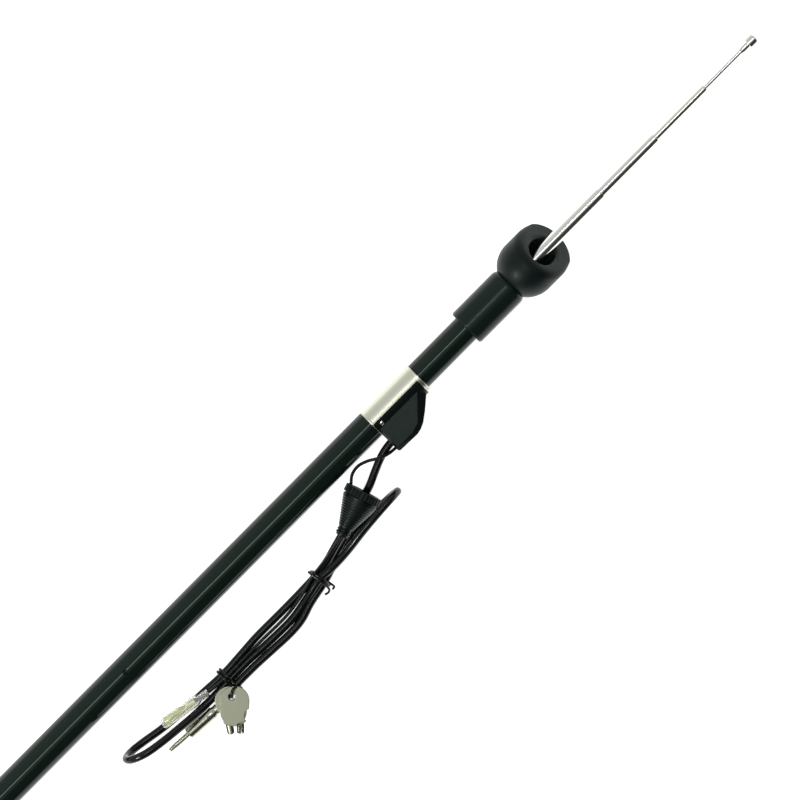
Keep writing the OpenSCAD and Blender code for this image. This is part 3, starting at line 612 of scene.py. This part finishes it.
class ANTENNA_OT_pad(bpy.types.Operator):
    """Moulds the ball-ended rubber pad, cut at the wing's slope, with its dished slot"""

    bl_idname = "antenna.pad"
    bl_label = "Wing pad"

    def execute(self, context):
        colour_nodes({"wing_pad": "pad_rubber"})
        spokes = 144
        form = bmesh.new()
        rows = [pad_section(math.tau * k / spokes) for k in range(spokes)]
        rings = [
            [
                form.verts.new((
                    x * MM,
                    rho * math.sin(math.tau * k / spokes) * MM,
                    rho * math.cos(math.tau * k / spokes) * MM,
                ))
                for k, (x, rho) in enumerate(ring)
            ]
            for ring in zip(*rows)
        ]
        join_rings(form, rings, closed=True)
        add_mesh("pad_moulded", form, ON_MAST, "wing_pad", "pad_rubber", body="pad")
        return {"FINISHED"}


def pad_section(turn):
    """The pad's outline in the half-plane at one turn round the mast, as (distance along, radius)."""
    radius = size("pad") / 2
    height = size("pad_height")
    ball = radius - 5
    slope = math.tan(math.radians(34.5))
    hole, floor = 7.05, 3.0
    fall = slope * math.cos(turn)

    def face(rho):
        return height - fall * rho

    # The soft edge where the outside meets the sloping face is wide at the top and tight at the foot.
    soft = 1.2 + (size("pad_edge") - 1.2) * max(0.0, (math.cos(turn) + 0.45) / 1.45) ** 0.7
    corner = Vector((face(radius), radius))
    along, inward = Vector((-1, 0)), Vector((fall, -1)).normalized()
    half = along.angle(inward) / 2
    reach = soft / math.tan(half)
    middle = corner + (along + inward).normalized() * soft / math.sin(half)
    first, last = corner + along * reach - middle, corner + inward * reach - middle
    sweep = first.angle(last)
    steps = 10
    edge = [
        middle + (first * math.sin((1 - k / steps) * sweep) + last * math.sin(k / steps * sweep)) / math.sin(sweep)
        for k in range(steps + 1)
    ]

    slot_radius, slot_rise = 9.0, 5.6
    if math.cos(turn) <= 0:
        slot = slot_radius
    else:
        sine = abs(math.sin(turn))
        slot = slot_radius / max(sine, 1e-6)
        if slot * math.cos(turn) > slot_rise:
            slot = slot_rise * math.cos(turn) + math.sqrt(slot_radius**2 - (slot_rise * sine) ** 2)

    dish_radius, dish_depth, dish_rise = 30.0, 2.4, 2.8

    def dished(rho):
        up = rho * math.cos(turn) / math.cos(math.radians(34.5)) - dish_rise
        away = math.hypot(up, rho * math.sin(turn))
        cap = math.sqrt(max(dish_radius**2 - away**2, 0)) - (dish_radius - dish_depth)
        return face(rho) - max(cap, 0.0) / math.cos(math.radians(34.5))

    start = edge[-1].y
    spread = [start + (slot + 1.3 - start) * k / 9 for k in range(1, 10)]
    lip = [
        (dished(slot + 0.75) - 0.16, slot + 0.75), (dished(slot + 0.3) - 0.5, slot + 0.3),
        (dished(slot) - 1.1, slot + 0.04), (dished(slot) - 2.0, slot),
    ]
    seat = math.sqrt(radius**2 - hole**2)
    opening = math.degrees(math.asin(hole / radius))
    meet = math.degrees(math.acos(min(edge[0].x - 0.3 - ball, 0.0) / radius))
    outside = arc((ball, 0), (radius, radius), 180 - opening, meet, 16)
    return [
        (floor, hole), (ball - seat, hole), *outside[1:], *[tuple(p) for p in edge],
        *[(dished(rho), rho) for rho in spread], *lip, (floor, slot),
    ]


class ANTENNA_OT_mast(bpy.types.Operator):
    """Turns the three mast tubes with their rolled tops, the rod and the tip cap"""

    bl_idname = "antenna.mast"
    bl_label = "Mast"

    def execute(self, context):
        diameters = [size(f"mast_{i}") for i in (1, 2, 3, 4)]
        tops = [82.7, 133.3, 178.8, 210.7]
        lengths = [450.0, 410.0, 375.0, 345.0]
        wall, roll = 0.4, 3.0
        for i in range(3):
            name = f"mast_tube_{i + 1}"
            colour_nodes({name: "mast_chrome"})
            radius, bore = diameters[i] / 2, diameters[i] / 2 - wall
            low, high = tops[i] - lengths[i], tops[i]
            guide = diameters[i + 1] / 2 + 0.05
            edge = guide + wall
            profile = [
                (low, bore), (low, radius),
                *arc((high - roll / 2, edge), (roll / 2, radius - edge), 90, 0, 8),
                (high, guide), (high - roll, guide), (high - roll - (bore - guide), bore),
            ]
            lathe(f"{name}_turned", profile, ON_MAST, name, "mast_chrome", ease=0.08, body=f"stage_{i + 1}")

        colour_nodes({"mast_rod": "mast_chrome", "tip_cap": "mast_chrome"})
        rod, cone_length, cap_length = diameters[3] / 2, 7.4, 7.4
        low, base = tops[3] - lengths[3], tops[3] + cone_length
        rod_profile = [(low, 0), (low, rod - 0.4), (low + 0.4, rod), (base, rod), (base, 0)]
        lathe("mast_rod_turned", rod_profile, ON_MAST, "mast_rod", "mast_chrome", ease=0.08, body="stage_4")
        tip, dome = size("tip") / 2, 2.6
        tip_profile = [
            (tops[3], rod), (tops[3], 1.9), (tops[3] + 3, 2.5), (base, 2.5), (base, tip - 0.3), (base + 0.3, tip),
            *arc((base + cap_length - dome, 0), (dome, tip), 90, 0, 12), (base + 0.01, 0), (base + 0.01, rod),
        ]
        lathe("tip_cap_turned", tip_profile, ON_MAST, "tip_cap", "mast_chrome", ease=0.12, body="stage_4")
        return {"FINISHED"}


class ANTENNA_OT_lead_cover(bpy.types.Operator):
    """Finishes the moulded cover over the leads' way out and its rivet"""

    bl_idname = "antenna.lead_cover"
    bl_label = "Lead cover"

    def execute(self, context):
        colour_nodes({"lead_cover": "moulded_black", "cover_rivet": "mast_chrome"})
        return {"FINISHED"}


class ANTENNA_OT_keys(bpy.types.Operator):
    """Cuts the two keys from sheet and rolls their shanks"""

    bl_idname = "antenna.keys"
    bl_label = "Keys"

    def execute(self, context):
        colour_nodes({"key_upper": "key_steel", "key_lower": "key_steel"})
        for node, place in (("key_upper", ON_UPPER_KEY), ("key_lower", ON_LOWER_KEY)):
            add_mesh(f"{node}_cut", key_form(), place, node, "key_steel")
        return {"FINISHED"}


def key_outline():
    """The head's outline: a long round, with a nick in one side."""
    radius, stretch = size("key_head") / 2, 7.6
    nick, nick_radius = Vector((stretch + 2.8, radius + 2.2)), 5.5
    outline = arc((stretch, 0), (radius, radius), -90, 90, 48) + arc((0, 0), (radius, radius), 90, 270, 48)
    outline = [Vector(p) for p in outline]
    kept = [p for p in outline if (p - nick).length > nick_radius]
    split = next(i for i, p in enumerate(kept) if p.y > 0 and (p - nick).angle(Vector((-1, 0))) < 1.2)
    bite = [Vector(p) for p in arc(nick, (nick_radius, nick_radius), 0, -180, 60)]

    def within(p):
        return (p - Vector((min(max(p.x, 0), stretch), 0))).length < radius - 0.05

    return kept[:split] + [p for p in bite if within(p)] + kept[split:]


def key_form():
    """A key's head with its hole, as a sheet with eased edges, and its rolled shank."""
    sheet, ease = size("key_sheet"), 0.24
    curve = bpy.data.curves.new("key_sheet", "CURVE")
    curve.dimensions = "2D"
    curve.fill_mode = "BOTH"
    curve.extrude = (sheet / 2 - ease) * MM
    curve.bevel_depth = ease * MM
    curve.bevel_resolution = 2
    curve.offset = -ease * MM
    hole = [Vector(p) for p in arc((-2.6, -1.8), (2.4, 2.4), 0, 352.5, 47)]
    for points in (key_outline(), hole):
        spline = curve.splines.new("POLY")
        spline.points.add(len(points) - 1)
        for point, place in zip(spline.points, points):
            point.co = (place.x * MM, place.y * MM, 0, 1)
        spline.use_cyclic_u = True
    flat = bpy.data.objects.new("key_sheet", curve)
    bpy.context.scene.collection.objects.link(flat)
    bpy.context.view_layer.update()
    mesh = bpy.data.meshes.new_from_object(flat.evaluated_get(bpy.context.evaluated_depsgraph_get()))
    form = bmesh.new()
    form.from_mesh(mesh)
    bmesh.ops.remove_doubles(form, verts=form.verts, dist=0.001 * MM)
    bpy.data.objects.remove(flat)
    bpy.data.curves.remove(curve)
    bpy.data.meshes.remove(mesh)

    outer, inner, slit, across = 2.4, 1.6, 1.4, 3.8
    root = 7.6 + math.sqrt((size("key_head") / 2) ** 2 - across**2) - 1
    total = 7.0
    gap = math.asin(slit / 2 / outer)
    turns = [gap + (math.tau - 2 * gap) * k / 40 for k in range(41)]
    rows = []
    for turn in turns:
        row = []
        for radius, at_end in ((outer, False), (outer, True), (inner, True), (inner, False)):
            y, z = radius * math.sin(turn), radius * math.cos(turn)
            end = total - (z + outer) * math.tan(math.radians(30))
            x = root + (end if at_end else 0)
            row.append(form.verts.new((x * MM, (across + y) * MM, (outer - sheet / 2 + z) * MM)))
        rows.append(row)
    join_rings(form, rows)
    form.faces.new(rows[0])
    form.faces.new(rows[-1])
    return form


class ANTENNA_OT_stage(bpy.types.Operator):
    """Lays white paper under the antenna and lights it from above"""

    bl_idname = "antenna.stage"
    bl_label = "Stage"

    def execute(self, context):
        form = bmesh.new()
        bmesh.ops.create_grid(form, size=4)
        mesh = bpy.data.meshes.new("floor")
        form.to_mesh(mesh)
        form.free()
        floor = bpy.data.objects.new("floor", mesh)
        context.scene.collection.objects.link(floor)
        mesh.materials.append(white_paper())
        # A long narrow lamp over the mast draws the thin bright line along its tubes.
        area_light("strip", (-100, 260, 3000), (-100, 0, 0), (2.4, 0.15), 14)
        # A small lamp low on the left gives the ball of the pad its soft highlight.
        area_light("side", (-1600, 200, 1100), (0, 0, 20), (0.35, 0.35), 18)
        context.scene.world = studio_world()
        context.scene.view_settings.view_transform = "Standard"
        return {"FINISHED"}


def white_paper():
    """White paper that the camera, metal and clear plastic see as white, with the antenna's shadow."""
    paper = bpy.data.materials.new("Uncoated white paper")
    paper.use_nodes = True
    tree = paper.node_tree
    tree.nodes.clear()
    path = add_node(tree, "ShaderNodeLightPath").outputs
    seen = path["Is Camera Ray"]
    for ray in ("Is Glossy Ray", "Is Transmission Ray"):
        seen = add_node(tree, "ShaderNodeMath", {"operation": "MAXIMUM"}, {0: seen, 1: path[ray]}).outputs[0]
    lit = add_node(tree, "ShaderNodeBsdfDiffuse", {"Color": linear("#e8e8e8")})
    glow = add_node(tree, "ShaderNodeEmission", {"Color": (1, 1, 1, 1), "Strength": 0.85})
    bright = add_node(tree, "ShaderNodeAddShader", links={0: lit.outputs[0], 1: glow.outputs[0]})
    grey = add_node(tree, "ShaderNodeBsdfDiffuse", {"Color": linear("#8a8a8a")})
    mix = add_node(tree, "ShaderNodeMixShader", links={0: seen, 1: grey.outputs[0], 2: bright.outputs[0]})
    add_node(tree, "ShaderNodeOutputMaterial", links={"Surface": mix.outputs[0]})
    return paper


def area_light(name, place, aim, sides, power):
    """A rectangular lamp, with its place and aim in millimetres from the wing seat."""
    light_data = bpy.data.lights.new(name, "AREA")
    light_data.shape = "RECTANGLE"
    light_data.size, light_data.size_y = sides
    light_data.energy = power
    light = bpy.data.objects.new(name, light_data)
    bpy.context.scene.collection.objects.link(light)
    light.location = from_seat(place)
    light.rotation_euler = (from_seat(aim) - light.location).to_track_quat("-Z", "Y").to_euler()
    return light


def studio_world():
    """A room that is bright overhead and to the left of the mast, and dark low down on its right."""
    world = bpy.data.worlds.new("Studio")
    world.use_nodes = True
    tree = world.node_tree
    tree.nodes.clear()
    direction = add_node(tree, "ShaderNodeTexCoord").outputs["Generated"]
    sideways = add_node(tree, "ShaderNodeSeparateXYZ", links={0: direction}).outputs["Y"]
    place = add_node(tree, "ShaderNodeMapRange", {"From Min": -1.0}, {"Value": sideways}).outputs["Result"]
    ramp = add_node(tree, "ShaderNodeValToRGB", links={"Fac": place})
    stops = ((0.0, 0.08), (0.12, 0.04), (0.28, 0.05), (0.37, 0.55), (0.5, 0.62), (0.7, 0.58), (1.0, 0.75))
    while len(ramp.color_ramp.elements) < len(stops):
        ramp.color_ramp.elements.new(0.5)
    for element, (position, level) in zip(ramp.color_ramp.elements, stops):
        element.position = position
        element.color = (level, level, level, 1)
    background = add_node(tree, "ShaderNodeBackground", {"Strength": 1.0}, {"Color": ramp.outputs["Color"]})
    add_node(tree, "ShaderNodeOutputWorld", links={"Surface": background.outputs[0]})
    return world


PIECES = (
    ANTENNA_OT_camera,
    ANTENNA_OT_leads,
    ANTENNA_OT_housing,
    ANTENNA_OT_sleeve_and_collar,
    ANTENNA_OT_pad,
    ANTENNA_OT_mast,
    ANTENNA_OT_lead_cover,
    ANTENNA_OT_keys,
    ANTENNA_OT_stage,
)


class ANTENNA_PT_panel(bpy.types.Panel):
    """Lists the antenna's pieces, sizes and colours in the sidebar"""

    bl_idname = "ANTENNA_PT_panel"
    bl_label = "Telescopic antenna"
    bl_space_type = "VIEW_3D"
    bl_region_type = "UI"
    bl_category = "Antenna"

    def draw(self, context):
        column = self.layout.column(align=True)
        for piece in PIECES:
            column.operator(piece.bl_idname)
        for title, group in (("Sizes", context.scene.antenna_sizes), ("Colours", context.scene.antenna_colours)):
            box = self.layout.box()
            box.label(text=title)
            for name in group.bl_rna.properties.keys():
                if name not in ("rna_type", "name"):
                    box.prop(group, name)


CLASSES = (AntennaSizes, AntennaColours, *PIECES, ANTENNA_PT_panel)


def register():
    for cls in CLASSES:
        bpy.utils.register_class(cls)
    bpy.types.Scene.antenna_sizes = bpy.props.PointerProperty(type=AntennaSizes)
    bpy.types.Scene.antenna_colours = bpy.props.PointerProperty(type=AntennaColours)


def unregister():
    del bpy.types.Scene.antenna_colours
    del bpy.types.Scene.antenna_sizes
    for cls in reversed(CLASSES):
        bpy.utils.unregister_class(cls)


def main():
    register()
    bpy.ops.antenna.camera()
    bpy.ops.antenna.leads()
    bpy.ops.antenna.housing()
    bpy.ops.antenna.sleeve_and_collar()
    bpy.ops.antenna.pad()
    bpy.ops.antenna.mast()
    bpy.ops.antenna.lead_cover()
    bpy.ops.antenna.keys()
    bpy.ops.antenna.stage()


if __name__ == "__main__":
    main()
